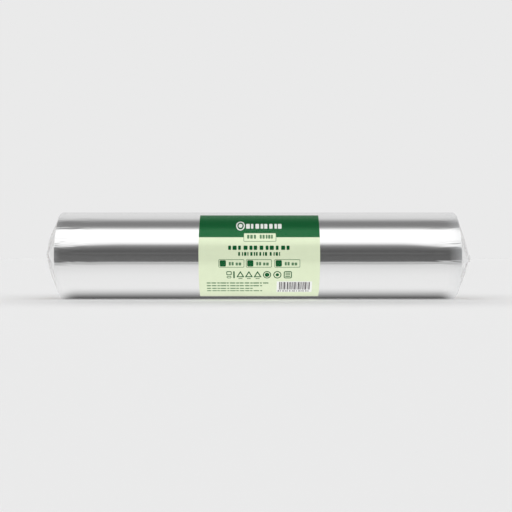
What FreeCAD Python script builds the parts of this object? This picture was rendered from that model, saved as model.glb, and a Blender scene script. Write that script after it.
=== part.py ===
"""A catering roll of aluminium foil as it is sold: foil wound on a paperboard core, a label and shrink film.

Millimetres. The roll lies on its side along X, +Z is up, the label faces -Y, and the origin is the middle of
the small flat that the roll rests on. Angles round the roll are 0 at the front (-Y) and 90 at the top.
"""

import FreeCAD, Part  # noqa: E401
import math
import os

# The core
CORE_BORE = 76.0  # the standard three inch core
CORE_WALL = 3.0
CORE_OVERHANG = 0.5  # the core stands out this far past the foil at each end
CORE_CHAMFER = 0.6

# The foil wound on it
FOIL_WIDTH = 450.0
FOIL_LENGTH = 60000.0
TURN_THICKNESS = 0.0404  # 0.035 of foil, and the air that the winding holds
TURN_STEP = 0.12  # height of the outermost turn's free edge, drawn three turns thick
FREE_EDGE_ANGLE = 150.0  # where the free edge lies, on the hidden side above the middle
WINDING_EDGE_ROUND = 1.0  # handling rounds the winding's two rims this much
END_GROOVES = 5  # rings on each end, where some turns lie deeper than others
END_GROOVE_DEPTH = 0.45  # of the deepest ring

# The label
LABEL_WIDTH = 134.0  # along the roll
LABEL_HEIGHT = 116.0  # round the roll
LABEL_THICKNESS = 0.12
LABEL_CENTRE_ANGLE = -0.7
LABEL_CENTRE_X = 1.5

# The film
FILM_THICKNESS = 0.2  # drawn ten times as thick as shrink film is
LAYER_CLEARANCE = 0.08  # between the film and what it wraps, and between the label and the foil
REST_FLAT_WIDTH = 14.0  # the roll's own weight presses a narrow flat where it lies

# The film's gathered ends
DOME_INSET = 0.5  # the film lifts off the end this far inside the rim's round
LEFT_DOME_HEIGHT = 17.0  # from the roll's end to the neck of the gather
RIGHT_DOME_HEIGHT = 18.0
LEFT_DOME_FULLNESS = 2.0  # 1 would be a straight cone, and more is a fuller dome
RIGHT_DOME_FULLNESS = 1.35
LEFT_NECK_RISE = 4.0  # from the roll's axis up to the neck's centre
RIGHT_NECK_RISE = -1.5
DOME_RINGS = (0.8, 0.56, 0.34, 0.18)  # radii where the pleats bend, as shares of the dome's foot
PLEATS = 14
PLEAT_DEPTH = 2.2  # from crest to valley close to the neck
PLEAT_UNEVENNESS = 0.25  # share by which a fold strays from its even place and depth
NECK_RADIUS = 3.5
BUNCH_RADIUS = 5.0  # the bunched tail of film opens to this past the neck
BUNCH_LENGTH = 3.0
BUNCH_DIMPLE = 1.6  # depth of the hollow in the bunch's end

# What follows: radii from the roll's axis, and distances from its middle
CORE_RADIUS = CORE_BORE / 2 + CORE_WALL
WINDING_RADIUS = math.sqrt(CORE_RADIUS**2 + FOIL_LENGTH * TURN_THICKNESS / math.pi)
LABEL_INNER_RADIUS = WINDING_RADIUS + LAYER_CLEARANCE
LABEL_RADIUS = LABEL_INNER_RADIUS + LABEL_THICKNESS
FILM_INNER_RADIUS = LABEL_RADIUS + LAYER_CLEARANCE
FILM_RADIUS = FILM_INNER_RADIUS + FILM_THICKNESS
WINDING_END = FOIL_WIDTH / 2
CORE_END = WINDING_END + CORE_OVERHANG
FILM_INNER_END = CORE_END + LAYER_CLEARANCE
FILM_END = FILM_INNER_END + FILM_THICKNESS
FILM_INNER_RIM_ROUND = WINDING_EDGE_ROUND + FILM_INNER_END - WINDING_END
FILM_RIM_ROUND = FILM_INNER_RIM_ROUND + FILM_THICKNESS
DOME_RADIUS = FILM_RADIUS - FILM_RIM_ROUND - DOME_INSET

# Heights above the ground
AXIS_HEIGHT = math.sqrt(FILM_RADIUS**2 - (REST_FLAT_WIDTH / 2) ** 2)
LABEL_FLOOR = FILM_THICKNESS + LAYER_CLEARANCE
WINDING_FLOOR = LABEL_FLOOR + LABEL_THICKNESS + LAYER_CLEARANCE

X_AXIS = FreeCAD.Vector(1, 0, 0)
ORIGIN = FreeCAD.Vector(0, 0, 0)
FULL_TURN = 360.0
RIM_STEPS = 3  # a rounded rim is this many narrow bands
CUT_MARGIN = 1.0  # how far a cutting shape reaches past what it cuts


def round_roll(x, radius, degrees):
    """The point at x, at that radius from the roll's axis and that angle round it."""
    turn = math.radians(degrees)
    return FreeCAD.Vector(x, -radius * math.cos(turn), radius * math.sin(turn))


def above_axis(x, radius):
    """The point at x straight above the axis, for profiles that are revolved round it."""
    return FreeCAD.Vector(x, 0, radius)


def polygon_face(points):
    return Part.Face(Part.makePolygon(list(points) + [points[0]]))


def revolved(points):
    return polygon_face(points).revolve(ORIGIN, X_AXIS, FULL_TURN)


def rim_points(end, radius, rim_round):
    """The profile of a rounded rim, from the right end's face out to the roll's side."""
    points = []
    for k in range(RIM_STEPS + 1):
        turn = math.pi / 2 * k / RIM_STEPS
        x = end - rim_round * (1 - math.cos(turn))
        points.append(above_axis(x, radius - rim_round * (1 - math.sin(turn))))
    return points


def mirrored(shape):
    """The same shape on the roll's other end."""
    return shape.mirror(ORIGIN, X_AXIS)


def raised(shape):
    """The shape, made round the X axis, moved up to the height at which the roll lies."""
    shape = shape.copy()
    shape.translate(FreeCAD.Vector(0, 0, AXIS_HEIGHT))
    return shape


def raised_and_flattened(shape, floor):
    """The same, and cut flat at a height above the ground."""
    reach = FOIL_WIDTH + FILM_RADIUS
    corner = FreeCAD.Vector(-reach, -reach, floor - reach)
    return raised(shape).cut(Part.makeBox(2 * reach, 2 * reach, reach, corner))


def core_tube():
    inner = CORE_BORE / 2
    profile = [
        above_axis(-CORE_END, CORE_RADIUS),
        above_axis(-CORE_END, inner + CORE_CHAMFER),
        above_axis(-CORE_END + CORE_CHAMFER, inner),
        above_axis(CORE_END - CORE_CHAMFER, inner),
        above_axis(CORE_END, inner + CORE_CHAMFER),
        above_axis(CORE_END, CORE_RADIUS),
    ]
    return raised(revolved(profile))


def winding_section():
    """A turn of two half circles with a step at the foil's free edge, round the core's hole."""
    on_axis = FreeCAD.Vector(-WINDING_END, 0, 0)
    start = round_roll(on_axis.x, WINDING_RADIUS, FREE_EDGE_ANGLE)
    halfway = round_roll(on_axis.x, WINDING_RADIUS, FREE_EDGE_ANGLE + FULL_TURN / 2)
    finish = round_roll(on_axis.x, WINDING_RADIUS - TURN_STEP, FREE_EDGE_ANGLE)
    first_quarter = round_roll(on_axis.x, WINDING_RADIUS, FREE_EDGE_ANGLE + FULL_TURN / 4)
    # The second half circle is the smaller one, and its centre lies between its own two ends.
    centre = (halfway + finish) * 0.5
    last_quarter = centre + (on_axis - first_quarter).normalize() * (finish - centre).Length
    outline = Part.Wire(
        [
            Part.Arc(start, first_quarter, halfway).toShape(),
            Part.Arc(halfway, last_quarter, finish).toShape(),
            Part.makeLine(finish, start),
        ]
    )
    return Part.Face([outline, Part.Wire(Part.makeCircle(CORE_RADIUS, on_axis, X_AXIS))])


def winding_end_waste():
    """What a square-cut winding loses at its right end: the rings between its turns, and its rim's round."""
    rim = rim_points(WINDING_END, WINDING_RADIUS, WINDING_EDGE_ROUND)
    ring_half = (rim[0].z - CORE_RADIUS) / (2 * END_GROOVES + 1)
    profile = [above_axis(WINDING_END, CORE_RADIUS - CUT_MARGIN)]
    for k in range(END_GROOVES):
        start = CORE_RADIUS + ring_half * 2 * k
        depth = END_GROOVE_DEPTH * (0.6 + 0.4 * math.cos(2.4 * k))
        profile += [above_axis(WINDING_END, start), above_axis(WINDING_END - depth, start + ring_half)]
    profile += [above_axis(WINDING_END, CORE_RADIUS + ring_half * 2 * END_GROOVES)] + rim
    profile += [
        above_axis(rim[-1].x, WINDING_RADIUS + CUT_MARGIN),
        above_axis(WINDING_END + CUT_MARGIN, WINDING_RADIUS + CUT_MARGIN),
        above_axis(WINDING_END + CUT_MARGIN, CORE_RADIUS - CUT_MARGIN),
    ]
    return revolved(profile)


def foil_winding():
    winding = winding_section().extrude(FreeCAD.Vector(FOIL_WIDTH, 0, 0))
    waste = winding_end_waste()
    return raised_and_flattened(winding.cut([waste, mirrored(waste)]), WINDING_FLOOR)


def paper_label():
    """A sheet of paper curved round the front of the winding."""
    half_angle = math.degrees(LABEL_HEIGHT / 2 / LABEL_RADIUS)
    lowest = LABEL_CENTRE_ANGLE - half_angle
    left = LABEL_CENTRE_X - LABEL_WIDTH / 2
    right = LABEL_CENTRE_X + LABEL_WIDTH / 2
    lower_edge = polygon_face(
        [
            round_roll(left, LABEL_INNER_RADIUS, lowest),
            round_roll(right, LABEL_INNER_RADIUS, lowest),
            round_roll(right, LABEL_RADIUS, lowest),
            round_roll(left, LABEL_RADIUS, lowest),
        ]
    )
    return raised_and_flattened(lower_edge.revolve(ORIGIN, X_AXIS, -2 * half_angle), LABEL_FLOOR)


def fold_ring(radius, height, depth, centre_rise):
    """The pleats' folds at one radius, crest and valley in turn, round a centre that far above the axis."""
    half_pleat = FULL_TURN / (2 * PLEATS)
    ring = []
    for k in range(2 * PLEATS):
        turn = half_pleat * (k + PLEAT_UNEVENNESS * math.sin(2.3 * k))
        offset = depth / 2 * (1 + PLEAT_UNEVENNESS * math.sin(1.9 * k))
        fold = round_roll(height + (offset if k % 2 == 0 else -offset), radius, turn)
        ring.append(fold + FreeCAD.Vector(0, 0, centre_rise))
    return ring


def pairs(ring):
    """Each point of a ring with the next one round it."""
    return list(zip(ring, ring[1:] + ring[:1]))


def pleat_facets(outer_ring, inner_ring):
    """Two triangles for each half pleat between two rings, split the other way every second time."""
    faces = []
    for k, ((a, b), (d, c)) in enumerate(zip(pairs(outer_ring), pairs(inner_ring))):
        halves = ((a, b, c), (a, c, d)) if k % 2 == 0 else ((a, b, d), (b, c, d))
        faces += [polygon_face(half) for half in halves]
    return faces


def closed_solid(faces):
    shell = Part.Shell(faces)
    shell.sewShape()
    return Part.Solid(shell)


def gathered_dome(dome_height, fullness, neck_rise):
    """The solid under the pleats of the film's right end, standing on its foot's disc at x = 0."""
    foot = fold_ring(DOME_RADIUS, 0, 0, 0)
    arcs = [Part.Arc(a, (a + b).normalize() * DOME_RADIUS, b).toShape() for a, b in pairs(foot)]
    rings = []
    for share in DOME_RINGS:
        height = dome_height * (1 - share**fullness)
        depth = PLEAT_DEPTH * (1 - share**2)
        rings.append(fold_ring(DOME_RADIUS * share, height, depth, neck_rise * (1 - share)))
    rings.append(fold_ring(NECK_RADIUS, dome_height, 0, neck_rise))
    faces = [Part.Face(Part.Wire(arcs)), polygon_face(rings[-1])]
    # The outermost faces are ruled from the foot's arcs, so the film leaves the roll's end on a true circle.
    for arc, (a, b) in zip(arcs, pairs(rings[0])):
        faces.append(Part.makeRuledSurface(arc, Part.makeLine(a, b)))
    for outer_ring, inner_ring in zip(rings, rings[1:]):
        faces += pleat_facets(outer_ring, inner_ring)
    return closed_solid(faces)


def film_bunch(dome_height, _fullness, neck_rise):
    """The tail of film past the right neck, bunched solid, with a hollow in its end."""
    neck = fold_ring(NECK_RADIUS, dome_height, 0, neck_rise)
    end = fold_ring(BUNCH_RADIUS, dome_height + BUNCH_LENGTH, PLEAT_DEPTH / 2, neck_rise)
    hollow = FreeCAD.Vector(dome_height + BUNCH_LENGTH - BUNCH_DIMPLE, 0, neck_rise)
    faces = [polygon_face(neck)] + pleat_facets(neck, end)
    faces += [polygon_face([a, b, hollow]) for a, b in pairs(end)]
    return closed_solid(faces)


def on_both_ends(right_end_shape, end):
    """What a function makes for each dome, set on the right end and mirrored on the left end."""
    right = right_end_shape(RIGHT_DOME_HEIGHT, RIGHT_DOME_FULLNESS, RIGHT_NECK_RISE)
    left = right_end_shape(LEFT_DOME_HEIGHT, LEFT_DOME_FULLNESS, LEFT_NECK_RISE)
    for shape in (right, left):
        shape.translate(FreeCAD.Vector(end, 0, 0))
    return [right, mirrored(left)]


def film_form(radius, end, rim_round):
    """The film's outer or inner form as a solid: a round-rimmed cylinder with a gathered dome on each end."""
    right_rim = rim_points(end, radius, rim_round)
    left_rim = [above_axis(-point.x, point.z) for point in reversed(right_rim)]
    body = revolved([above_axis(end, 0)] + right_rim + left_rim + [above_axis(-end, 0)])
    return body.fuse(on_both_ends(gathered_dome, end))


def shrink_film():
    """One closed skin: the outer form less an inner one that lies the film's thickness inside it."""
    outside = film_form(FILM_RADIUS, FILM_END, FILM_RIM_ROUND)
    outside = outside.fuse(on_both_ends(film_bunch, FILM_END))
    inside = film_form(FILM_INNER_RADIUS, FILM_INNER_END, FILM_INNER_RIM_ROUND)
    return raised_and_flattened(outside, 0).cut(raised_and_flattened(inside, FILM_THICKNESS))


def main():
    os.makedirs("parts", exist_ok=True)
    for piece in (core_tube, foil_winding, paper_label, shrink_film):
        solids = piece().Solids
        print(piece.__name__, "solids", len(solids), "volumes", [round(solid.Volume, 1) for solid in solids])
        whole = solids[0] if len(solids) == 1 else Part.makeCompound(solids)
        whole.exportStep(f"parts/{piece.__name__}.step")


main()
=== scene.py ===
"""A wrapped catering roll of aluminium foil: foil on its paperboard core, a paper label and clear shrink film.

Metres, in the CAD model's frame. The roll lies along X, the label faces -Y, +Z is up, and the origin is the
middle of the narrow flat it rests on. Angles round the roll are 0 at the front (-Y) and 90 at the top.
"""

import math

import bmesh
import bpy
from bpy.props import FloatProperty, FloatVectorProperty, IntProperty, PointerProperty
from bpy.types import Operator, Panel, PropertyGroup
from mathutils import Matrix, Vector, noise


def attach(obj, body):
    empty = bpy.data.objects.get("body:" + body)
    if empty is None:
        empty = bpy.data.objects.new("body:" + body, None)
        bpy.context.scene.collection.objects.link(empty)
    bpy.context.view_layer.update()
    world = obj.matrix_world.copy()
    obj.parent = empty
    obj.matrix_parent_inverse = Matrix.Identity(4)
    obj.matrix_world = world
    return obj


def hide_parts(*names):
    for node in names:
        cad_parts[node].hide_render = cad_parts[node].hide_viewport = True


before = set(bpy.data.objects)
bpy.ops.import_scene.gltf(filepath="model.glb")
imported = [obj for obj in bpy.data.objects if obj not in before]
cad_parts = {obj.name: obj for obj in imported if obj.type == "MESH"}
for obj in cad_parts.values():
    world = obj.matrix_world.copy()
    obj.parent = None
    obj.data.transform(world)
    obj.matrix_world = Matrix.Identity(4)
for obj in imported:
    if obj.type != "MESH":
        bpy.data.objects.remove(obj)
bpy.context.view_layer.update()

bl_info = {
    "name": "Foil roll",
    "version": (1, 0, 0),
    "blender": (4, 5, 0),
    "location": "3D View > Sidebar > Foil roll",
    "description": "Models a wrapped catering roll of aluminium foil, piece by piece",
    "category": "Add Mesh",
}

MM = 0.001

# The roll, as the CAD model has it
AXIS_HEIGHT = 49.511 * MM
CORE_INNER_RADIUS = 38.0 * MM
CORE_OUTER_RADIUS = 41.0 * MM
CORE_END = 225.5 * MM
CORE_CHAMFER = 0.6 * MM
WINDING_RADIUS = 49.523 * MM
WINDING_END = 225.0 * MM
WINDING_RIM_ROUND = 0.35 * MM
WINDING_FLOOR = 0.48 * MM  # the wound turns are pressed flat below this height
FREE_EDGE_ANGLE = 150.0  # where the outermost turn ends, on the hidden back

# How the tight film ripples and dents the outer turns towards both ends
RIPPLES_FROM = 150 * MM
RIPPLES_FULL = 220 * MM
RIPPLED_TURNS = 2.5 * MM  # how deep in the winding the turns give way
RIPPLES_PER_METRE = Vector((34, 110, 110))
RIPPLE_PLACE = Vector((22.2, 11.4, 3.6))  # the part of the noise that looks most like the photo
DENT_HEIGHT = 65.5 * MM
DENT_REACH = 6 * MM

LABEL_RADIUS = 49.723 * MM
LABEL_CENTRE_X = 1.5 * MM
LABEL_CENTRE_Z = -0.1 * MM  # along the sheet, before it is curved round the roll
LABEL_THICKNESS = 0.12 * MM
FILM_RADIUS = 49.99 * MM
FILM_END = 225.78 * MM
FILM_RIM_ROUND = 1.1 * MM

# The film's gathered ends, as the CAD model has them
DOME_RADIUS = 47.72 * MM
DOME_RINGS = (0.8, 0.56, 0.34, 0.18)  # radii where the pleats bend, as shares of the dome's foot
PLEATS = 14
PLEAT_DEPTH = 2.2 * MM
PLEAT_UNEVENNESS = 0.25
NECK_RADIUS = 3.5 * MM
BUNCH_RADIUS = 4.2 * MM
BUNCH_LENGTH = 1.8 * MM
BUNCH_DIMPLE = 1.4 * MM
LEFT_DOME = {"side": -1, "height": 16.2 * MM, "fullness": 1.6, "neck_rise": 1.5 * MM}
RIGHT_DOME = {"side": 1, "height": 17.6 * MM, "fullness": 1.2, "neck_rise": -3.5 * MM}

AXIS = Vector((0, 0, AXIS_HEIGHT))
TURN_STEPS = 96  # facets of half a turn


def linear(hex_colour):
    """An sRGB hex colour as the linear colour that shaders take."""
    shares = [int(hex_colour[k:k + 2], 16) / 255 for k in (1, 3, 5)]
    return tuple(c / 12.92 if c <= 0.04045 else ((c + 0.055) / 1.055) ** 2.4 for c in shares) + (1.0,)


def colour_property(name, description, hex_colour):
    return FloatVectorProperty(
        name=name, description=description, default=linear(hex_colour), size=4, min=0, max=1, subtype="COLOR"
    )


def length_property(name, description, default):
    return FloatProperty(name=name, description=description, default=default, min=0, unit="LENGTH")


class FoilRollSizes(PropertyGroup):
    """Sizes that can be changed without leaving the CAD model's box"""

    turn_step: length_property("Turn step", "Height of the step at the foil's free edge", 0.12 * MM)
    ripple_depth: length_property("Ripple depth", "Of the outer turns' ripples near the ends", 0.16 * MM)
    dent_depth: length_property("Dent depth", "Of the soft dent at the front of each end", 0.4 * MM)
    end_turn_pitch: length_property("End turn pitch", "Distance between the uneven turns on the ends", 0.5 * MM)
    end_turn_depth: length_property("End turn depth", "How deep the deepest turns lie in the ends", 0.45 * MM)
    label_width: length_property("Label width", "Along the roll", 134 * MM)
    label_height: length_property("Label height", "Round the roll", 117 * MM)
    ink_thickness: length_property("Ink thickness", "How far each layer of print stands out", 0.012 * MM)
    small_fold_depth: length_property("Small fold depth", "Depth of the film's folds between pleats", 0.4 * MM)
    film_smoothness: IntProperty(name="Film smoothness", description="Subdivision level", default=2, min=1, max=3)


class FoilRollColours(PropertyGroup):
    """Colours of the roll and of the stage"""

    foil: colour_property("Foil", "Bright rolled aluminium", "#F5F5F5")
    paperboard: colour_property("Paperboard", "The core's kraft paper", "#A9845C")
    paper: colour_property("Label paper", "Pale green ground of the label", "#E6F1D0")
    head: colour_property("Label head", "Green field at the label's top", "#176738")
    ink: colour_property("Ink", "Green of the small print", "#0F5F30")
    soft_ink: colour_property("Soft ink", "Grey green of the figures", "#5F8660")
    white_ink: colour_property("White ink", "Fields left white on the label", "#F6F8F4")
    bar_ink: colour_property("Bar ink", "Dark bars of the barcode field", "#544C50")
    floor: colour_property("Floor", "Pale floor and backdrop", "#EAEAEA")


def sizes():
    return bpy.context.scene.foil_roll_sizes


def colours():
    return bpy.context.scene.foil_roll_colours


# Working in edit mode


def deselect_all():
    if bpy.context.mode != "OBJECT":
        bpy.ops.object.mode_set(mode="OBJECT")
    bpy.ops.object.select_all(action="DESELECT")


def open_for_editing(piece):
    deselect_all()
    piece.select_set(True)
    bpy.context.view_layer.objects.active = piece
    bpy.ops.object.mode_set(mode="EDIT")


def choose(piece, kind, wanted):
    """In edit mode, select just the vertices, edges or faces that the test wants, and say how many."""
    bpy.ops.mesh.select_mode(type=kind)
    bpy.ops.mesh.select_all(action="DESELECT")
    mesh = bmesh.from_edit_mesh(piece.data)
    chosen = [part for part in {"VERT": mesh.verts, "EDGE": mesh.edges, "FACE": mesh.faces}[kind] if wanted(part)]
    for part in chosen:
        part.select_set(True)
    mesh.select_flush(True)
    bmesh.update_edit_mesh(piece.data)
    if not chosen:
        raise RuntimeError(f"nothing to work on in {piece.name}")
    return len(chosen)


def start_piece(name):
    """Name the primitive that was just added, and give its mesh its place."""
    piece = bpy.context.object
    piece.name = piece.data.name = name
    bpy.ops.object.transform_apply(location=True, rotation=True, scale=True)
    return piece


def draw_profile(name, points):
    """A closed outline, drawn by extruding a vertex from point to point."""
    deselect_all()
    bpy.ops.mesh.primitive_plane_add(size=MM, location=points[0])
    piece = start_piece(name)
    open_for_editing(piece)
    bpy.ops.mesh.merge(type="CENTER")
    for start, end in zip(points, points[1:] + points[:1]):
        bpy.ops.mesh.extrude_vertices_move(TRANSFORM_OT_translate={"value": end - start})
    bpy.ops.mesh.select_all(action="SELECT")
    bpy.ops.mesh.remove_doubles(threshold=0.001 * MM)
    return piece


def press_flat(piece, floor):
    """Press what lies below a height flat on it, as the roll's weight does."""
    choose(piece, "VERT", lambda v: v.co.z < floor)
    bpy.ops.transform.resize(value=(1, 1, 0), center_override=(0, 0, floor))


def close_skin(piece):
    """Merge doubles, turn the faces outwards and leave edit mode."""
    bpy.ops.mesh.select_mode(type="VERT")
    bpy.ops.mesh.select_all(action="SELECT")
    bpy.ops.mesh.remove_doubles(threshold=0.002 * MM)
    bpy.ops.mesh.normals_make_consistent(inside=False)
    bpy.ops.object.mode_set(mode="OBJECT")


def shade_smooth(piece, sharpest):
    deselect_all()
    piece.select_set(True)
    bpy.context.view_layer.objects.active = piece
    bpy.ops.object.shade_smooth_by_angle(angle=math.radians(sharpest))


def apply_modifier(piece, kind, **settings):
    bpy.context.view_layer.objects.active = piece
    modifier = piece.modifiers.new(kind.title(), kind)
    for name, value in settings.items():
        setattr(modifier, name, value)
    bpy.ops.object.modifier_apply(modifier=modifier.name)


def from_axis(point):
    """How far a point is from the roll's axis."""
    return math.hypot(point.y, point.z - AXIS_HEIGHT)


def above_axis(x, radius):
    return Vector((x, 0, AXIS_HEIGHT + radius))


def hand_over(piece, node):
    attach(piece, "root")
    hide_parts(node)


# Materials


def new_material(name):
    """An empty material, and the tree that its nodes go in."""
    material = bpy.data.materials.new(name)
    material.use_nodes = True
    material.node_tree.nodes.clear()
    return material, material.node_tree


def add_node(tree, kind, inputs=None, **settings):
    """Add a node with its settings, and link or set its inputs."""
    node = tree.nodes.new(kind)
    for name, value in settings.items():
        setattr(node, name, value)
    for socket, value in (inputs or {}).items():
        if isinstance(value, bpy.types.Node):
            value = value.outputs[0]
        if isinstance(value, bpy.types.NodeSocket):
            tree.links.new(value, node.inputs[socket])
        else:
            node.inputs[socket].default_value = value
    return node


def mix_colours(tree, share, first, second):
    """A node's output that goes from the first colour to the second one with the share."""
    return add_node(tree, "ShaderNodeMix", {0: share, 6: first, 7: second}, data_type="RGBA").outputs[2]


def darker(colour, factor):
    """The same colour at another brightness."""
    return tuple(min(1.0, c * factor) for c in colour[:3]) + (1.0,)


def foil_side_material():
    """Bright rolled aluminium foil: nearly a mirror, drawn out into faint lines by the rolls it passed through.

    The turns lie smooth in the middle. Towards the ends the film's pull puts fine creases in them.
    """
    material, tree = new_material("bright rolled aluminium foil")
    place = add_node(tree, "ShaderNodeTexCoord").outputs["Object"]
    apart = add_node(tree, "ShaderNodeSeparateXYZ", {0: place})
    # Rolling lines run round the roll. They are drawn 0.8 mm apart, coarser than the real ones, so that they show.
    stretched = add_node(tree, "ShaderNodeMapping", {"Vector": place, "Scale": (1250, 12, 12)})
    lines = add_node(tree, "ShaderNodeTexNoise", {"Vector": stretched, "Scale": 1.0, "Detail": 3.0})
    # Sharper creases within 50 mm of the ends, about 20 mm long and 4 mm apart
    drawn_in = add_node(
        tree, "ShaderNodeMapping", {"Vector": place, "Location": (31.8, 17.4, 6.6), "Scale": (45, 230, 230)}
    )
    creases = add_node(
        tree, "ShaderNodeTexNoise", {"Vector": drawn_in, "Scale": 1.0, "Detail": 2.0, "Distortion": 0.6},
        noise_type="RIDGED_MULTIFRACTAL",
    )
    from_middle = add_node(tree, "ShaderNodeMath", {0: apart.outputs["X"]}, operation="ABSOLUTE")
    at_end = add_node(
        tree, "ShaderNodeMapRange", {"Value": from_middle, "From Min": 0.172, "From Max": 0.225},
        interpolation_type="SMOOTHSTEP",
    )
    crease_height = add_node(tree, "ShaderNodeMath", {0: creases, 1: at_end}, operation="MULTIPLY")
    creased_normal = add_node(
        tree, "ShaderNodeBump",
        {"Strength": 1.0, "Distance": 0.19 * MM, "Height": crease_height},
    )
    normal = add_node(
        tree, "ShaderNodeBump",
        {"Strength": 0.25, "Distance": 0.004 * MM, "Height": lines, "Normal": creased_normal},
    )
    roughness = add_node(
        tree, "ShaderNodeMapRange", {"Value": lines, "To Min": 0.09, "To Max": 0.14}
    )
    surface = add_node(
        tree, "ShaderNodeBsdfPrincipled",
        {"Base Color": tuple(colours().foil), "Metallic": 1.0, "Roughness": roughness, "Normal": normal},
    )
    add_node(tree, "ShaderNodeOutputMaterial", {"Surface": surface})
    return material


def foil_edge_material():
    """The foil's slit edges, turn on turn: silvery rings of uneven brightness with a satin gleam."""
    material, tree = new_material("slit edges of the foil turns")
    place = add_node(tree, "ShaderNodeTexCoord").outputs["Object"]
    apart = add_node(tree, "ShaderNodeSeparateXYZ", {0: place})
    height = add_node(tree, "ShaderNodeMath", {0: apart.outputs["Z"], 1: AXIS_HEIGHT}, operation="SUBTRACT")
    flat = add_node(tree, "ShaderNodeCombineXYZ", {"X": apart.outputs["Y"], "Y": height})
    radius = add_node(tree, "ShaderNodeVectorMath", {0: flat}, operation="LENGTH").outputs["Value"]
    # Bands 1 mm apart, with rings down to 0.1 mm in them, stand for the turns
    ring_place = add_node(tree, "ShaderNodeCombineXYZ", {"X": radius})
    rings = add_node(
        tree, "ShaderNodeTexNoise", {"Vector": ring_place, "Scale": 1000.0, "Detail": 4.0, "Roughness": 0.7}
    )
    band_share = add_node(tree, "ShaderNodeMapRange", {"Value": rings, "From Min": 0.3, "From Max": 0.7})
    along = add_node(tree, "ShaderNodeTexNoise", {"Vector": place, "Scale": 160.0, "Detail": 3.0})
    normal = add_node(tree, "ShaderNodeBump", {"Strength": 0.6, "Distance": 0.05 * MM, "Height": rings})
    roughness = add_node(tree, "ShaderNodeMapRange", {"Value": along, "To Min": 0.24, "To Max": 0.42})
    tone = mix_colours(tree, band_share, linear("#85888C"), linear("#F6F7F9"))
    surface = add_node(
        tree, "ShaderNodeBsdfPrincipled",
        {"Base Color": tone, "Metallic": 1.0, "Roughness": roughness, "Normal": normal},
    )
    add_node(tree, "ShaderNodeOutputMaterial", {"Surface": surface})
    return material


def paperboard_material():
    """Kraft paperboard wound in a spiral: brown, matt and fibrous, with the seam of each wind showing as a line."""
    material, tree = new_material("spirally wound kraft paperboard")
    place = add_node(tree, "ShaderNodeTexCoord").outputs["Object"]
    apart = add_node(tree, "ShaderNodeSeparateXYZ", {0: place})
    height = add_node(tree, "ShaderNodeMath", {0: apart.outputs["Z"], 1: AXIS_HEIGHT}, operation="SUBTRACT")
    angle = add_node(tree, "ShaderNodeMath", {0: height, 1: apart.outputs["Y"]}, operation="ARCTAN2")
    turns = add_node(tree, "ShaderNodeMath", {0: angle, 1: math.tau}, operation="DIVIDE")
    # The paper strips are 90 mm wide, so each wind moves on by that much
    winds = add_node(
        tree, "ShaderNodeMath", {0: apart.outputs["X"], 1: 1 / 0.090, 2: turns}, operation="MULTIPLY_ADD"
    )
    phase = add_node(tree, "ShaderNodeMath", {0: winds}, operation="FRACT")
    seam = add_node(tree, "ShaderNodeMapRange", {"Value": phase, "From Min": 0.0, "From Max": 0.012})
    # Fibres about 2 mm long and 0.2 mm wide
    drawn_out = add_node(tree, "ShaderNodeMapping", {"Vector": place, "Scale": (500, 2500, 2500)})
    fibres = add_node(tree, "ShaderNodeTexNoise", {"Vector": drawn_out, "Scale": 1.0, "Detail": 4.0})
    fibre_share = add_node(tree, "ShaderNodeMapRange", {"Value": fibres, "From Min": 0.3, "From Max": 0.7})
    board = tuple(colours().paperboard)
    tone = mix_colours(tree, fibre_share, darker(board, 0.8), darker(board, 1.15))
    seamed = mix_colours(tree, seam, darker(board, 0.35), tone)
    relief = add_node(tree, "ShaderNodeMath", {0: fibres, 1: seam}, operation="MULTIPLY")
    normal = add_node(tree, "ShaderNodeBump", {"Strength": 0.5, "Distance": 0.1 * MM, "Height": relief})
    surface = add_node(
        tree, "ShaderNodeBsdfPrincipled",
        {"Base Color": seamed, "Roughness": 0.85, "Normal": normal},
    )
    add_node(tree, "ShaderNodeOutputMaterial", {"Surface": surface})
    return material


def printed_paper_material(name, colour, gloss):
    """Coated label paper in one colour of its print: even, with a faint fibre grain.

    A share of it answers like metal, which gives its gloss: it mirrors the studio's bands in its own colour.
    """
    material, tree = new_material(name)
    place = add_node(tree, "ShaderNodeTexCoord").outputs["Object"]
    # Paper formation, as clouds 6 mm across, and a grain of 0.3 mm
    clouds = add_node(tree, "ShaderNodeTexNoise", {"Vector": place, "Scale": 160.0, "Detail": 2.0})
    grain = add_node(tree, "ShaderNodeTexNoise", {"Vector": place, "Scale": 3300.0, "Detail": 2.0})
    tone = mix_colours(tree, clouds, darker(colour, 0.96), darker(colour, 1.02))
    roughness = add_node(tree, "ShaderNodeMapRange", {"Value": grain, "To Min": 0.12, "To Max": 0.19})
    normal = add_node(tree, "ShaderNodeBump", {"Strength": 0.1, "Distance": 0.004 * MM, "Height": grain})
    surface = add_node(
        tree, "ShaderNodeBsdfPrincipled",
        {
            "Base Color": tone, "Metallic": gloss, "Roughness": roughness, "Specular IOR Level": 0.1,
            "Normal": normal,
        },
    )
    add_node(tree, "ShaderNodeOutputMaterial", {"Surface": surface})
    return material


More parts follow.
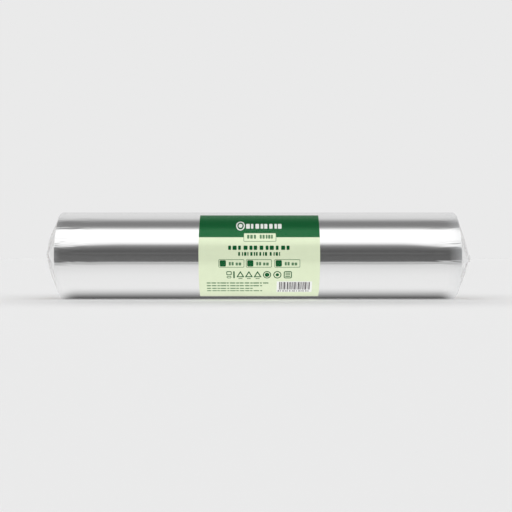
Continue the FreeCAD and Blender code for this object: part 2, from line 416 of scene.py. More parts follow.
def shrink_film_material():
    """Clear polyolefin shrink film: it shows as gloss, more so where it is seen edge on, and hazy where gathered."""
    material, tree = new_material("clear polyolefin shrink film")
    place = add_node(tree, "ShaderNodeTexCoord").outputs["Object"]
    apart = add_node(tree, "ShaderNodeSeparateXYZ", {0: place})
    from_middle = add_node(tree, "ShaderNodeMath", {0: apart.outputs["X"]}, operation="ABSOLUTE")
    near_end = add_node(
        tree, "ShaderNodeMapRange", {"Value": from_middle, "From Min": 0.170, "From Max": 0.226},
        interpolation_type="SMOOTHSTEP",
    )
    # Creases some 6 mm long run in from the ends, and are drawn smoother on the gathered part
    drawn_out = add_node(tree, "ShaderNodeMapping", {"Vector": place, "Scale": (60, 210, 210)})
    creases = add_node(tree, "ShaderNodeTexNoise", {"Vector": drawn_out, "Scale": 1.0, "Detail": 3.0})
    smoother = add_node(
        tree, "ShaderNodeMapRange",
        {"Value": from_middle, "From Min": FILM_END, "From Max": FILM_END + 2 * MM, "To Min": 1.0, "To Max": 0.3},
    )
    depth = add_node(tree, "ShaderNodeMath", {0: near_end, 1: smoother}, operation="MULTIPLY")
    crease_height = add_node(tree, "ShaderNodeMath", {0: creases, 1: depth}, operation="MULTIPLY")
    normal = add_node(tree, "ShaderNodeBump", {"Strength": 1.0, "Distance": 0.25 * MM, "Height": crease_height})
    edge_on = add_node(tree, "ShaderNodeLayerWeight", {"Blend": 0.5, "Normal": normal}).outputs["Facing"]
    rise = add_node(tree, "ShaderNodeMath", {0: edge_on, 1: 7.0}, operation="POWER")
    # Painted shade: towards the top of each end the film dims what lies behind it further, more so at the left, and
    # it is hazier and glossier there. Below, the film is clear.
    above_middle = {"Value": apart.outputs["Z"], "From Min": 0.030, "From Max": 0.048}
    top_painted_shade = add_node(
        tree, "ShaderNodeMapRange",
        {"Value": apart.outputs["X"], "From Min": -FILM_END, "From Max": FILM_END, "To Min": 0.87, "To Max": 0.91},
    )
    painted_shade_fold = add_node(
        tree, "ShaderNodeMapRange", dict(above_middle, **{"To Min": 0.975, "To Max": top_painted_shade})
    )
    haziest_fold = add_node(tree, "ShaderNodeMapRange", dict(above_middle, **{"To Min": 0.04, "To Max": 0.14}))
    glossiest_fold = add_node(tree, "ShaderNodeMapRange", dict(above_middle, **{"To Min": 0.03, "To Max": 0.12}))
    least_glossy_fold = add_node(tree, "ShaderNodeMapRange", dict(above_middle, **{"To Min": 0.02, "To Max": 0.09}))
    # Where film lies close on what it wraps, it mirrors less than the 4 percent of film in air.
    # Seen edge on it mirrors most at the rim, which draws a fine line there, and less where it is gathered.
    at_most = add_node(
        tree, "ShaderNodeMapRange",
        {
            "Value": from_middle, "From Min": FILM_END + 0.6 * MM, "From Max": FILM_END + 2.5 * MM,
            "To Min": 0.5, "To Max": glossiest_fold,
        },
    )
    at_least = add_node(
        tree, "ShaderNodeMapRange",
        {
            "Value": from_middle, "From Min": FILM_END, "From Max": FILM_END + 2.5 * MM,
            "To Min": 0.012, "To Max": least_glossy_fold,
        },
    )
    mirrored = add_node(tree, "ShaderNodeMapRange", {"Value": rise, "To Min": at_least, "To Max": at_most})
    gloss = add_node(
        tree, "ShaderNodeBsdfAnisotropic", {"Color": (1, 1, 1, 1), "Roughness": 0.08, "Normal": normal}
    )
    # Edge on it lets through least: at the rim, and on the gathered ends down to the painted shade of the upper folds
    dimmest = add_node(
        tree, "ShaderNodeMapRange",
        {
            "Value": from_middle, "From Min": FILM_END + 0.6 * MM, "From Max": FILM_END + 2.5 * MM,
            "To Min": 0.80, "To Max": painted_shade_fold,
        },
    )
    let_through = add_node(tree, "ShaderNodeMapRange", {"Value": rise, "To Min": 0.985, "To Max": dimmest})
    clear = add_node(tree, "ShaderNodeBsdfTransparent", {"Color": let_through})
    skin = add_node(tree, "ShaderNodeMixShader", {0: mirrored, 1: clear, 2: gloss})
    # A haze where it is gathered, and a veil that runs in from each end, more so from the right one
    gathered = add_node(
        tree, "ShaderNodeMapRange",
        {
            "Value": from_middle, "From Min": FILM_END, "From Max": FILM_END + 2.5 * MM,
            "To Min": 0.0, "To Max": haziest_fold,
        },
    )
    left_veil = add_node(
        tree, "ShaderNodeMapRange",
        {"Value": apart.outputs["X"], "From Min": -0.218, "From Max": -FILM_END, "To Min": 0.0, "To Max": 0.08},
    )
    right_veil = add_node(
        tree, "ShaderNodeMapRange",
        {"Value": apart.outputs["X"], "From Min": 0.211, "From Max": FILM_END, "To Min": 0.0, "To Max": 0.20},
    )
    veils = add_node(tree, "ShaderNodeMath", {0: left_veil, 1: right_veil}, operation="ADD")
    at_rest = add_node(tree, "ShaderNodeMath", {0: gathered, 1: veils}, operation="MAXIMUM")
    thicker = add_node(
        tree, "ShaderNodeMapRange", {"Value": edge_on, "From Min": 0.1, "From Max": 0.6, "To Min": 0.4, "To Max": 1.0}
    )
    on_side = add_node(
        tree, "ShaderNodeMapRange",
        {
            "Value": from_middle, "From Min": FILM_END, "From Max": FILM_END + MM,
            "To Min": 1.0, "To Max": thicker,
        },
    )
    share = add_node(tree, "ShaderNodeMath", {0: at_rest, 1: on_side}, operation="MULTIPLY")
    haze = add_node(tree, "ShaderNodeBsdfDiffuse", {"Color": linear("#F3F5F7"), "Normal": normal})
    hazy = add_node(tree, "ShaderNodeMixShader", {0: share, 1: skin, 2: haze})
    add_node(tree, "ShaderNodeOutputMaterial", {"Surface": hazy})
    return material


# The wound foil and its core


class FOILROLL_OT_core_tube(Operator):
    """Model the paperboard core by spinning its wall's outline round the roll's axis"""

    bl_idname = "foilroll.core_tube"
    bl_label = "Core tube"

    def execute(self, context):
        bevel = CORE_CHAMFER
        tube = draw_profile("core_tube_paperboard", [
            above_axis(-CORE_END, CORE_OUTER_RADIUS),
            above_axis(-CORE_END, CORE_INNER_RADIUS + bevel),
            above_axis(-CORE_END + bevel, CORE_INNER_RADIUS),
            above_axis(CORE_END - bevel, CORE_INNER_RADIUS),
            above_axis(CORE_END, CORE_INNER_RADIUS + bevel),
            above_axis(CORE_END, CORE_OUTER_RADIUS),
        ])
        bpy.ops.mesh.select_all(action="SELECT")
        bpy.ops.mesh.spin(steps=2 * TURN_STEPS, angle=math.tau, center=AXIS, axis=(1, 0, 0), use_auto_merge=True)
        close_skin(tube)
        tube.data.materials.append(paperboard_material())
        shade_smooth(tube, 30)
        hand_over(tube, "core_tube")
        return {"FINISHED"}


def winding_profile(turn_pitch, turn_depth, turn_step):
    """The outline of the wound foil in the half plane above the axis: uneven ends, rounded rims, side and bore."""
    bore = CORE_OUTER_RADIUS + turn_step  # a spiral too, so it closes on the core at its inner end
    rim = WINDING_RADIUS - WINDING_RIM_ROUND
    turns = int((rim - bore) / turn_pitch)
    end = [(WINDING_END, bore)]
    for k in range(1, 2 * turns):
        lies_deep = 0.5 + 0.3 * math.sin(0.9 * k) + 0.2 * math.sin(2.3 * k + 1)
        depth = turn_depth * lies_deep if k % 2 else 0.12 * turn_depth * lies_deep
        end.append((WINDING_END - depth, bore + (rim - bore) * k / (2 * turns)))
    for k in range(6):
        turn = math.pi / 2 * k / 5
        end.append((WINDING_END - WINDING_RIM_ROUND * (1 - math.cos(turn)), rim + WINDING_RIM_ROUND * math.sin(turn)))
    right = [above_axis(x, radius) for x, radius in end]
    left = [above_axis(-x, radius) for x, radius in end]
    return left + right[::-1]


def smooth_share(value, start, end):
    """0 before the start, 1 past the end and an even S between them."""
    share = min(1.0, max(0.0, (value - start) / (end - start)))
    return share * share * (3 - 2 * share)


def pull_in_ends(winding, ripple_depth, dent_depth):
    """Ripple the outer turns towards both ends and dent them at the front, as the tight film does."""
    for vertex in winding.data.vertices:
        place = vertex.co
        radius = from_axis(place)
        share = (
            smooth_share(abs(place.x), RIPPLES_FROM, RIPPLES_FULL)
            * smooth_share(radius, WINDING_RADIUS - RIPPLED_TURNS, WINDING_RADIUS - WINDING_RIM_ROUND)
            * smooth_share(place.z, WINDING_FLOOR, WINDING_FLOOR + 4 * MM)
        )
        if share:
            ripple = noise.noise(place * RIPPLES_PER_METRE + RIPPLE_PLACE)
            dent = math.exp(-((place.z - DENT_HEIGHT) / DENT_REACH) ** 2) if place.y < 0 else 0.0
            stretch = 1 + share * (ripple_depth * ripple - dent_depth * dent) / radius
            vertex.co.y *= stretch
            vertex.co.z = AXIS_HEIGHT + (place.z - AXIS_HEIGHT) * stretch


class FOILROLL_OT_foil_winding(Operator):
    """Model the wound foil by spinning its outline round two centres, so that its last turn ends in a step"""

    bl_idname = "foilroll.foil_winding"
    bl_label = "Foil winding"

    def execute(self, context):
        size = sizes()
        profile = winding_profile(size.end_turn_pitch, size.end_turn_depth, size.turn_step)
        winding = draw_profile("foil_winding_turns", profile)
        # The second half turn's centre lies half a step lower, so it closes one step further in.
        bpy.ops.mesh.select_all(action="SELECT")
        bpy.ops.mesh.spin(steps=TURN_STEPS, angle=math.pi, center=AXIS, axis=(1, 0, 0))
        second_centre = AXIS - Vector((0, 0, size.turn_step / 2))
        bpy.ops.mesh.spin(steps=TURN_STEPS, angle=math.pi, center=second_centre, axis=(1, 0, 0))
        choose(winding, "EDGE", lambda e: e.is_wire or e.is_boundary)
        bpy.ops.mesh.bridge_edge_loops()
        bpy.ops.mesh.select_all(action="SELECT")
        # With no window a turn goes the other way, so this carries the step from the top to the back.
        bpy.ops.transform.rotate(
            value=math.radians(FREE_EDGE_ANGLE - 90), orient_axis="X", center_override=AXIS
        )
        press_flat(winding, WINDING_FLOOR)
        # Cut the side near the ends into rows 2 mm wide, which take the ripples
        choose(winding, "FACE", lambda f: from_axis(f.calc_center_median()) > WINDING_RADIUS - 0.6 * MM)
        bpy.ops.mesh.hide(unselected=True)
        for k in range(38):
            for side in (-1, 1):
                bpy.ops.mesh.select_all(action="SELECT")
                bpy.ops.mesh.bisect(plane_co=(side * (RIPPLES_FROM + 2 * k * MM), 0, 0), plane_no=(1, 0, 0))
        bpy.ops.mesh.reveal()
        close_skin(winding)
        pull_in_ends(winding, size.ripple_depth, size.dent_depth)
        winding.data.materials.append(foil_side_material())
        winding.data.materials.append(foil_edge_material())
        for face in winding.data.polygons:
            face.material_index = int(abs(face.normal.x) > 0.5 and from_axis(face.center) < WINDING_RADIUS - MM)
        shade_smooth(winding, 40)
        hand_over(winding, "foil_winding")
        return {"FINISHED"}


# The label and its print. Its layout is in millimetres along the roll and round it, from the front's middle.


class PrintedSheet:
    """The label while it is laid out flat, standing in the XZ plane and facing -Y."""

    def __init__(self, ink_thickness):
        self.ink_thickness = ink_thickness
        self.inks = []
        self.fields = []

    def finish_field(self, layer, ink):
        """Put the flat shape just made on its layer and give it its ink."""
        field = bpy.context.object
        bpy.ops.object.mode_set(mode="OBJECT")
        field.location.y = -layer * self.ink_thickness
        bpy.ops.object.transform_apply(location=True, rotation=True, scale=True)
        field.data.materials.append(ink)
        self.fields.append(field)
        return field

    def block(self, left, right, low, high, ink, layer, corner=0.0, line=0.0):
        """A rectangle with rounded corners. With a line width it is an outline only."""
        deselect_all()
        middle = ((left + right) / 2 * MM, 0, (low + high) / 2 * MM)
        bpy.ops.mesh.primitive_plane_add(size=1, location=middle, rotation=(math.pi / 2, 0, 0))
        bpy.context.object.scale = ((right - left) * MM, (high - low) * MM, 1)
        bpy.ops.object.transform_apply(location=True, rotation=True, scale=True)
        bpy.ops.object.mode_set(mode="EDIT")
        bpy.ops.mesh.select_all(action="SELECT")
        if corner:
            bpy.ops.mesh.bevel(affect="VERTICES", offset=corner * MM, segments=4)
        self.hollow_out(line)
        return self.finish_field(layer, ink)

    def row(self, left, right, low, high, ink, layer, narrow, wide, gap, phase=0, corner=0.0):
        """A row of plain blocks of uneven width, which reads as print from a step away."""
        k = phase
        while left + narrow <= right:
            end = min(left + narrow + (wide - narrow) * (0.5 + 0.5 * math.sin(2.7 * k)), right)
            self.block(left, end, low, high, ink, layer, corner)
            left = end + gap * (1 + 0.4 * math.sin(1.9 * k))
            k += 1

    def disc(self, x, z, radius, ink, layer, corners=32, line=0.0, tall=1.0):
        """A round shape, or an even-sided one with few corners. With a line width it is an outline only."""
        deselect_all()
        bpy.ops.mesh.primitive_circle_add(
            vertices=corners, radius=radius * MM, fill_type="NGON", location=(x * MM, 0, z * MM),
            rotation=(math.pi / 2, 0, 0),
        )
        bpy.context.object.scale = (1, tall, 1)
        bpy.ops.object.transform_apply(location=True, rotation=True, scale=True)
        bpy.ops.object.mode_set(mode="EDIT")
        bpy.ops.mesh.select_all(action="SELECT")
        if corners < 8:
            bpy.ops.mesh.bevel(affect="VERTICES", offset=radius * 0.18 * MM, segments=3)
        self.hollow_out(line)
        return self.finish_field(layer, ink)

    def hollow_out(self, line):
        if line:
            bpy.ops.mesh.select_mode(type="FACE")
            bpy.ops.mesh.select_all(action="SELECT")
            bpy.ops.mesh.inset(thickness=line * MM)
            bpy.ops.mesh.delete(type="FACE")

    def join(self, name):
        deselect_all()
        for field in self.fields:
            field.select_set(True)
        bpy.context.view_layer.objects.active = self.fields[0]
        bpy.ops.object.join()
        sheet = bpy.context.object
        sheet.name = sheet.data.name = name
        return sheet


def print_head(sheet, pale, white, soft):
    """On the dark green head: a plain white mark and a row of white blocks, and a pale tab hanging from it."""
    sheet.disc(-19.4, 36.6, 4.9, white, 2, line=1.3, tall=1.4)
    sheet.disc(-19.4, 36.6, 2.2, white, 2, corners=24, tall=1.4)
    sheet.row(-13.2, 28.2, 32.2, 39.6, white, 2, 2.6, 4.2, 1.7, phase=3, corner=0.8)
    sheet.block(-15.9, 20.2, 15.8, 26.4, pale, 2, corner=1.2)
    sheet.block(-15.9, 20.2, 15.8, 26.4, soft, 3, corner=1.2, line=0.55)
    sheet.row(-12.0, 0.2, 19.3, 24.0, soft, 3, 2.2, 3.0, 0.9, corner=0.6)
    sheet.row(2.0, 16.6, 19.3, 24.0, soft, 3, 1.9, 2.5, 0.9, corner=0.6)


def print_titles(sheet, green):
    """Two centred rows of plain blocks."""
    sheet.row(-32.8, 36.8, 6.4, 11.2, green, 1, 3.0, 4.6, 2.1, phase=2, corner=0.8)
    for left, right in ((-21.8, 10.6), (13.0, 24.6)):
        sheet.row(left, right, -0.1, 4.0, green, 1, 1.1, 2.5, 1.5, phase=1, corner=0.4)


def print_boxes(sheet, green, soft):
    """Three outlined boxes, each with a dark square and a few short blocks."""
    for left in (-43.5, -13.2, 18.2):
        sheet.block(left, left + 28.4, -13.2, -4.0, soft, 1, corner=1.2, line=0.6)
        sheet.block(left + 1.3, left + 8.2, -12.1, -5.0, green, 1, corner=1.2)
        sheet.row(left + 11.4, left + 17.2, -10.9, -7.0, soft, 1, 1.9, 2.5, 0.8, corner=0.5)
        sheet.row(left + 18.9, left + 25.2, -10.9, -7.6, soft, 1, 1.9, 3.2, 0.8, corner=0.5)


def print_marks(sheet, green):
    """A row of seven small shapes in outline."""
    middle = -21.9
    sheet.block(-34.9, -29.1, middle - 0.4, middle + 4.3, green, 1, corner=1.0, line=0.9)
    sheet.block(-34.5, -29.5, middle - 4.3, middle - 1.6, green, 1, corner=1.0, line=0.7)
    sheet.block(-27.3, -25.7, middle - 4.3, middle + 4.3, green, 1, corner=0.6)
    for x in (-19.4, -10.0, -0.4):
        sheet.disc(x, middle - 0.4, 5.2, green, 1, corners=3, line=1.15)
        sheet.block(x - 2.2, x + 2.2, middle - 5.2, middle - 4.4, green, 1, corner=0.2)
    for x, inner in ((10.1, 2.6), (21.5, 1.9)):
        sheet.disc(x, middle, 4.5, green, 1, line=1.0)
        sheet.disc(x, middle, inner, green, 1, corners=24)
    sheet.block(28.6, 37.6, middle - 4.4, middle + 4.4, green, 1, corner=1.8, line=1.0)
    for low in (-2.6, -0.5, 1.6):
        sheet.block(30.4, 35.8, middle + low, middle + low + 1.0, green, 1, corner=0.3)


def print_small_rows(sheet, soft):
    """Four rows of small dashes."""
    for k, (z, end) in enumerate(zip((-32.7, -36.8, -41.1, -45.4), (12.5, 7.5, -3.0, 5.5))):
        sheet.row(-57.0, end, z - 0.8, z + 0.8, soft, 1, 2.2, 6.5, 0.9, phase=7 * k, corner=0.3)


def print_bar_field(sheet, white, dark):
    """A white field with plain upright bars of uneven width, and a row of small blocks below them."""
    sheet.block(20.9, 60.3, -47.8, -30.5, white, 1)
    sheet.row(23.6, 57.8, -43.2, -31.4, dark, 2, 0.45, 1.5, 0.75)
    sheet.row(22.2, 58.4, -46.9, -44.7, dark, 2, 0.9, 1.6, 1.3, phase=3, corner=0.3)


class FOILROLL_OT_paper_label(Operator):
    """Lay the label out flat, print it, give it its thickness and curve it round the roll's front"""

    bl_idname = "foilroll.paper_label"
    bl_label = "Paper label"

    def execute(self, context):
        size = sizes()
        tint = colours()
        pale = printed_paper_material("coated label paper", tint.paper, 0.17)
        head = printed_paper_material("dark green print", tint.head, 0.35)
        green = printed_paper_material("green ink", tint.ink, 0.3)
        soft = printed_paper_material("soft green ink", tint.soft_ink, 0.2)
        white = printed_paper_material("white print", tint.white_ink, 0.17)
        dark = printed_paper_material("dark bar ink", tint.bar_ink, 0.17)
        left = (LABEL_CENTRE_X - size.label_width / 2) / MM
        right = (LABEL_CENTRE_X + size.label_width / 2) / MM
        low = (LABEL_CENTRE_Z - size.label_height / 2) / MM
        top = (LABEL_CENTRE_Z + size.label_height / 2) / MM

        sheet = PrintedSheet(size.ink_thickness)
        sheet.block(left, right, low, top, pale, 0)
        sheet.block(left + 0.05, right - 0.05, 21.0, top - 0.05, head, 1)
        print_head(sheet, pale, white, soft)
        print_titles(sheet, green)
        print_boxes(sheet, green, soft)
        print_marks(sheet, green)
        print_small_rows(sheet, soft)
        print_bar_field(sheet, white, dark)
        label = sheet.join("paper_label_printed")

        # Cut into rows, so that paper and print bend alike
        open_for_editing(label)
        rows = 64
        for k in range(1, rows):
            bpy.ops.mesh.select_all(action="SELECT")
            height = (low + (top - low) * k / rows) * MM
            bpy.ops.mesh.bisect(plane_co=(0, 0, height), plane_no=(0, 0, 1))
        bpy.ops.object.mode_set(mode="OBJECT")
        apply_modifier(label, "SOLIDIFY", thickness=LABEL_THICKNESS, offset=-1)
        apply_modifier(
            label, "SIMPLE_DEFORM", deform_method="BEND", deform_axis="X", angle=size.label_height / LABEL_RADIUS
        )
        label.location = (0, -LABEL_RADIUS, AXIS_HEIGHT)
        deselect_all()
        label.select_set(True)
        bpy.context.view_layer.objects.active = label
        bpy.ops.object.transform_apply(location=True, rotation=True, scale=True)
        shade_smooth(label, 30)
        hand_over(label, "paper_label")
        return {"FINISHED"}


# The shrink film

SPOKES = 4 * PLEATS  # each pleat's crest, its valley, and a small fold after each of them


def fold_points(radius, along, depth, rise, small_fold, side):
    """Where the film's spokes cross one radius: crests and valleys in turn, and a small fold between each two."""
    half_pleat = math.tau / (2 * PLEATS)
    folds = []
    for k in range(2 * PLEATS + 1):
        k %= 2 * PLEATS
        turn = half_pleat * (k + PLEAT_UNEVENNESS * math.sin(2.3 * k))
        offset = depth / 2 * (1 + PLEAT_UNEVENNESS * math.sin(1.9 * k))
        folds.append((turn, along + (offset if k % 2 == 0 else -offset)))
    folds[-1] = (folds[-1][0] + math.tau, folds[-1][1])
    points = []
    for k, ((turn, x), (next_turn, next_x)) in enumerate(zip(folds, folds[1:])):
        between = ((turn + next_turn) / 2, (x + next_x) / 2 + small_fold * math.sin(2.9 * k + 40 * radius))
        for angle, height in ((turn, x), between):
            points.append(Vector((
                side * (FILM_END + height), -radius * math.cos(angle), AXIS_HEIGHT + rise + radius * math.sin(angle)
            )))
    return points


def gather_end(film, dome, small_fold):
    """Inset the film's end face ring by ring, and set each ring's corners in its pleats."""
    side, height, rise = dome["side"], dome["height"], dome["neck_rise"]
    choose(film, "FACE", lambda f: f.normal.x * side > 0.9 and len(f.verts) == SPOKES)
    rings = [(DOME_RADIUS, 0.0, 0.0, 0.0, 0.0)]
    for share in DOME_RINGS:
        rings.append((
            DOME_RADIUS * share, height * (1 - share ** dome["fullness"]), PLEAT_DEPTH * (1 - share**2),
            rise * (1 - share), small_fold * (1 - share) * min(1.0, 3 * share),
        ))
    rings.append((NECK_RADIUS, height, 0.0, rise, 0.0))
    rings.append((BUNCH_RADIUS, height + BUNCH_LENGTH, PLEAT_DEPTH / 2, rise, 0.0))
    rings.append((BUNCH_RADIUS * 0.45, height + BUNCH_LENGTH - BUNCH_DIMPLE, 0.0, rise, 0.0))
    for radius, along, depth, ring_rise, fold in rings:
        # A small even inset first, which only makes the new ring: its corners are then set one by one.
        bpy.ops.mesh.inset(thickness=0.02 * MM)
        mesh = bmesh.from_edit_mesh(film.data)
        end = next(face for face in mesh.faces if face.select)
        place_corners(film, ring_order(end), fold_points(radius, along, depth, ring_rise, fold, side))


def ring_order(end):
    """The corners of an end face, counted from the front over the top."""
    centre = end.calc_center_median()
    return sorted(
        ((math.atan2(v.co.z - centre.z, -v.co.y + centre.y) + 0.01) % math.tau, v.index) for v in end.verts
    )


def place_corners(film, order, target):
    """Move the end face's corners, in their order, to the target points."""
    mesh = bmesh.from_edit_mesh(film.data)
    mesh.verts.ensure_lookup_table()
    face_index = next(face.index for face in mesh.faces if face.select)
    moves = [(index, point - mesh.verts[index].co) for (_, index), point in zip(order, target)]
    bpy.ops.mesh.select_mode(type="VERT")
    for index, move in moves:
        bpy.ops.mesh.select_all(action="DESELECT")
        mesh = bmesh.from_edit_mesh(film.data)
        mesh.verts.ensure_lookup_table()
        mesh.verts[index].select_set(True)
        bpy.ops.transform.translate(value=move)
    choose(film, "FACE", lambda f: f.index == face_index)


class FOILROLL_OT_shrink_film(Operator):
    """Model the film as one closed skin from a cylinder: gather its ends in pleats, round its rims, smooth it"""

    bl_idname = "foilroll.shrink_film"
    bl_label = "Shrink film"

    def execute(self, context):
        size = sizes()
        # Smoothing draws a ring of 56 corners in by this share, so the cage is that much wider.
        swell = 1 / (2 / 3 + math.cos(math.tau / SPOKES) / 3)
        deselect_all()
        bpy.ops.mesh.primitive_cylinder_add(
            vertices=SPOKES, radius=FILM_RADIUS * swell, depth=2 * FILM_END, end_fill_type="NGON",
            location=AXIS, rotation=(0, math.pi / 2, 0),
        )
        film = start_piece("shrink_film_skin")
        open_for_editing(film)
        gather_end(film, RIGHT_DOME, size.small_fold_depth)
        gather_end(film, LEFT_DOME, size.small_fold_depth)

        # Folds stay crisp from rim to neck
        choose(film, "EDGE", lambda e: self.runs_inwards(e) and all(
            abs(v.co.x) > FILM_END - MM and from_axis(v.co) < 0.9 * DOME_RADIUS for v in e.verts
        ))
        bpy.ops.transform.edge_crease(value=0.55)

        # Loops that hold the sides straight, then the rims' rounds
        for x in (3, 9, 30, 100):
            for side in (-1, 1):
                bpy.ops.mesh.select_all(action="SELECT")
                bpy.ops.mesh.bisect(plane_co=(side * (FILM_END - x * MM), 0, 0), plane_no=(1, 0, 0))
        choose(film, "EDGE", lambda e: all(
            abs(abs(v.co.x) - FILM_END) < 0.01 * MM and from_axis(v.co) > FILM_RADIUS for v in e.verts
        ))
        bpy.ops.mesh.bevel(offset=FILM_RIM_ROUND, segments=3, affect="EDGES")
        close_skin(film)
        apply_modifier(film, "SUBSURF", levels=size.film_smoothness, render_levels=size.film_smoothness)
        open_for_editing(film)
        press_flat(film, 0.0)
        close_skin(film)
        film.data.materials.append(shrink_film_material())
        shade_smooth(film, 60)
        hand_over(film, "shrink_film")
        return {"FINISHED"}

    @staticmethod
    def runs_inwards(edge):
        """True if an edge goes from ring to ring, not along one."""
        first, second = edge.verts
        return abs(from_axis(first.co) - from_axis(second.co)) > 0.4 * edge.calc_length()


# The stage

# What the foil mirrors, by the angle from the front (0) over the top (90) to the back (180) and, below the
# horizon, down to -180: a long soft lamp above the front, a dark flag over the roll, pale walls behind it, and
# the dark room round the camera.
STUDIO = (
    (-180, 0.80), (-24, 0.80), (-16, 0.12), (-9, 0.105), (3, 0.095), (6, 0.16), (9, 0.095), (14, 0.11),
    (20, 0.155), (24.5, 0.235), (28, 0.36), (31, 0.80), (34.5, 1.05), (40, 1.22), (71, 1.22), (73.5, 1.05),
    (76.3, 0.75), (79, 0.47), (82.5, 0.32), (87, 0.235), (98, 0.225), (105, 0.32), (110, 0.48), (116, 0.66),
    (122, 0.74), (150, 0.82), (180, 0.80),
)
PAINTED_DARK_REFLECTION_FROM = -0.194  # in front of this the floor glows dark for mirrored rays only, a painted dark reflection, in metres along Y
# What lies past the roll's two ends, by its height from -1 (below) to 1 (above): a lamp with dark above and below
SIDES = ((-1, 0.55), (-0.02, 0.60), (0.10, 0.35), (0.24, 0.30), (0.30, 1.50), (0.66, 1.50), (0.72, 0.30), (1, 0.40))


# The same for the floor: its painted reflection in the foil, with a painted shadow of the roll, as a brightness by
# the distance from the roll's middle line, in millimetres
PAINTED_FLOOR_REFLECTION = (
    (0, 0.04), (8.5, 0.11), (12, 0.17), (15, 0.26), (20, 0.47), (24, 0.66), (28, 0.80), (32, 0.89), (37, 0.91),
    (63, 0.89), (89, 0.83), (110, 0.78), (139, 0.72), (149, 0.50), (158, 0.36), (168, 0.56), (195, 0.68),
    (230, 0.80),
)
FLOOR_REACH = 0.25  # metres covered by the ramp of these levels
PAINTED_SHADOW_END = 0.204  # past this distance from the roll's middle the painted shadow ends in the floor's painted reflection
# Strength of the floor's even glow that stands in for its bounce light: painted bounce light
PAINTED_FLOOR_BOUNCE = 1.12
# The lamps as they light the scene, by the same angle: a broad soft one above the front, and one low behind
LAMPS = (
    (0, 0.45), (28, 0.45), (36, 1.67), (72, 1.67), (80, 0.40), (88, 0.10), (106, 0.10), (114, 0.45), (124, 1.10),
    (134, 1.90), (144, 2.42), (150, 2.90), (153, 1.10), (156, 0.20), (180, 0.10),
)


def set_stops(ramp, levels):
    """Set a colour ramp's grey stops, given as pairs of place and level in rising order."""
    stops = ramp.color_ramp.elements
    for k, (place, level) in enumerate(levels):
        stop = stops[k] if k < 2 else stops.new(place)
        stop.position = place
        stop.color = (level, level, level, 1)


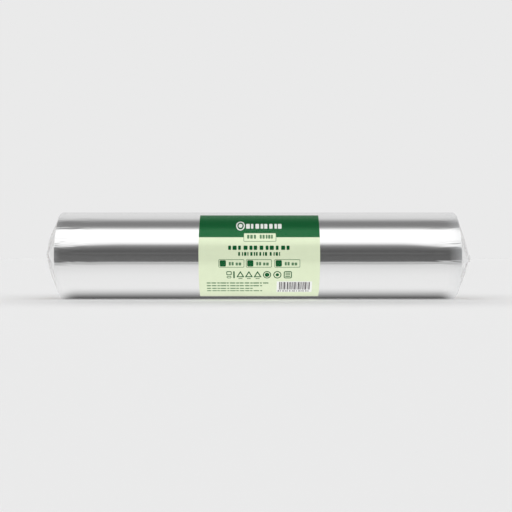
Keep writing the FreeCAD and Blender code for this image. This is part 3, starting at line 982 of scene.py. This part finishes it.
class FOILROLL_OT_stage(Operator):
    """Lay the pale floor, light the studio and set up the camera of the photograph"""

    bl_idname = "foilroll.stage"
    bl_label = "Stage"

    def execute(self, context):
        self.add_floor()
        self.add_world()
        self.add_camera()
        context.scene.view_settings.view_transform = "Standard"
        return {"FINISHED"}

    def add_floor(self):
        deselect_all()
        bpy.ops.mesh.primitive_plane_add(size=30, location=(0, 0, -0.02 * MM))
        floor = start_piece("studio_floor")
        material, tree = new_material("matt pale studio floor")
        place = add_node(tree, "ShaderNodeTexCoord").outputs["Object"]
        apart = add_node(tree, "ShaderNodeSeparateXYZ", {0: place})
        # A matt painted board's faint grain, 0.8 mm across
        grain = add_node(tree, "ShaderNodeTexNoise", {"Vector": place, "Scale": 1200.0, "Detail": 2.0})
        normal = add_node(tree, "ShaderNodeBump", {"Strength": 0.05, "Distance": 0.05 * MM, "Height": grain})
        matt = add_node(tree, "ShaderNodeBsdfDiffuse", {"Color": tuple(colours().floor), "Normal": normal})
        # Painted reflection: for mirrored rays the floor glows as the pale floor with a painted shadow of the roll,
        # as a lamp from the front would leave it. Past the camera's side of the set it glows dark, a painted dark
        # reflection.
        across = add_node(tree, "ShaderNodeMath", {0: apart.outputs["X"]}, operation="ABSOLUTE")
        past_end = add_node(tree, "ShaderNodeMath", {0: across, 1: PAINTED_SHADOW_END}, operation="SUBTRACT")
        beside = add_node(tree, "ShaderNodeMath", {0: past_end, 1: 0.0}, operation="MAXIMUM")
        offset = add_node(tree, "ShaderNodeCombineXYZ", {"X": beside, "Y": apart.outputs["Y"]})
        from_roll = add_node(tree, "ShaderNodeVectorMath", {0: offset}, operation="LENGTH").outputs["Value"]
        share = add_node(tree, "ShaderNodeMath", {0: from_roll, 1: FLOOR_REACH}, operation="DIVIDE")
        ramp = add_node(tree, "ShaderNodeValToRGB", {"Fac": share})
        set_stops(ramp, [(distance * MM / FLOOR_REACH, level) for distance, level in PAINTED_FLOOR_REFLECTION])
        # The painted dark reflection in front of the set
        in_front = add_node(
            tree, "ShaderNodeMath", {0: apart.outputs["Y"], 1: PAINTED_DARK_REFLECTION_FROM}, operation="LESS_THAN"
        )
        painted_reflection_tone = mix_colours(tree, in_front, ramp, (0.12, 0.12, 0.12, 1))
        mirrored = add_node(tree, "ShaderNodeEmission", {"Color": painted_reflection_tone})
        # Painted bounce light: for the other rays, among them those that light the label from below, the floor glows
        # evenly, as the front lamp would leave it, without the roll's shadow
        painted_bounce = add_node(tree, "ShaderNodeEmission", {"Color": (1, 1, 1, 1), "Strength": PAINTED_FLOOR_BOUNCE})
        path = add_node(tree, "ShaderNodeLightPath")
        unseen = add_node(tree, "ShaderNodeMixShader", {0: path.outputs["Is Glossy Ray"], 1: painted_bounce, 2: mirrored})
        surface = add_node(tree, "ShaderNodeMixShader", {0: path.outputs["Is Camera Ray"], 1: unseen, 2: matt})
        add_node(tree, "ShaderNodeOutputMaterial", {"Surface": surface})
        floor.data.materials.append(material)

    def add_world(self):
        world = bpy.data.worlds.new("soft studio")
        bpy.context.scene.world = world
        world.use_nodes = True
        tree = world.node_tree
        tree.nodes.clear()
        direction = add_node(tree, "ShaderNodeTexCoord").outputs["Generated"]
        apart = add_node(tree, "ShaderNodeSeparateXYZ", {0: direction})
        towards_front = add_node(tree, "ShaderNodeMath", {0: apart.outputs["Y"], 1: -1.0}, operation="MULTIPLY")
        angle = add_node(
            tree, "ShaderNodeMath", {0: apart.outputs["Z"], 1: towards_front}, operation="ARCTAN2"
        )
        share = add_node(tree, "ShaderNodeMapRange", {"Value": angle, "From Min": -math.pi, "From Max": math.pi})
        ramp = add_node(tree, "ShaderNodeValToRGB", {"Fac": share})
        set_stops(ramp, [((degrees + 180) / 360, level) for degrees, level in STUDIO])
        # Past the ends the strips give way to a lamp on each side
        sideways = add_node(tree, "ShaderNodeMath", {0: apart.outputs["X"]}, operation="ABSOLUTE")
        past_end = add_node(
            tree, "ShaderNodeMapRange", {"Value": sideways, "From Min": 0.55, "From Max": 0.9},
            interpolation_type="SMOOTHSTEP",
        )
        height = add_node(tree, "ShaderNodeMapRange", {"Value": apart.outputs["Z"], "From Min": -1.0})
        side_lamp = add_node(tree, "ShaderNodeValToRGB", {"Fac": height})
        set_stops(side_lamp, [((z + 1) / 2, level) for z, level in SIDES])
        mirrored = mix_colours(tree, past_end, ramp, side_lamp)
        light = add_node(tree, "ShaderNodeValToRGB", {"Fac": share})
        set_stops(light, [((degrees + 180) / 360, level) for degrees, level in LAMPS])
        path = add_node(tree, "ShaderNodeLightPath")
        lit = mix_colours(tree, path.outputs["Is Glossy Ray"], light, mirrored)
        seen = mix_colours(tree, path.outputs["Is Camera Ray"], lit, tuple(colours().floor))
        background = add_node(tree, "ShaderNodeBackground", {"Color": seen, "Strength": 1.0})
        add_node(tree, "ShaderNodeOutputWorld", {"Surface": background})

    def add_camera(self):
        deselect_all()
        bpy.ops.object.camera_add(location=(-0.00214, -1.0, 0.04916), rotation=(math.pi / 2, 0, 0))
        camera = bpy.context.object
        camera.name = "photo_camera"
        camera.data.sensor_width = 36
        camera.data.lens = 60.67
        bpy.context.scene.camera = camera


class FOILROLL_PT_pieces(Panel):
    """The roll's pieces, in the order in which they are made"""

    bl_idname = "FOILROLL_PT_pieces"
    bl_label = "Foil roll"
    bl_space_type = "VIEW_3D"
    bl_region_type = "UI"
    bl_category = "Foil roll"

    def draw(self, context):
        layout = self.layout
        for operator in OPERATORS:
            layout.operator(operator.bl_idname)
        for group in (context.scene.foil_roll_sizes, context.scene.foil_roll_colours):
            box = layout.box()
            for name in group.__annotations__:
                box.prop(group, name)


OPERATORS = (
    FOILROLL_OT_core_tube,
    FOILROLL_OT_foil_winding,
    FOILROLL_OT_paper_label,
    FOILROLL_OT_shrink_film,
    FOILROLL_OT_stage,
)
CLASSES = (FoilRollSizes, FoilRollColours) + OPERATORS + (FOILROLL_PT_pieces,)


def register():
    for cls in CLASSES:
        bpy.utils.register_class(cls)
    bpy.types.Scene.foil_roll_sizes = PointerProperty(type=FoilRollSizes)
    bpy.types.Scene.foil_roll_colours = PointerProperty(type=FoilRollColours)


def unregister():
    del bpy.types.Scene.foil_roll_sizes
    del bpy.types.Scene.foil_roll_colours
    for cls in reversed(CLASSES):
        bpy.utils.unregister_class(cls)


def main():
    register()
    bpy.ops.foilroll.core_tube()
    bpy.ops.foilroll.foil_winding()
    bpy.ops.foilroll.paper_label()
    bpy.ops.foilroll.shrink_film()
    bpy.ops.foilroll.stage()


if __name__ == "__main__":
    main()
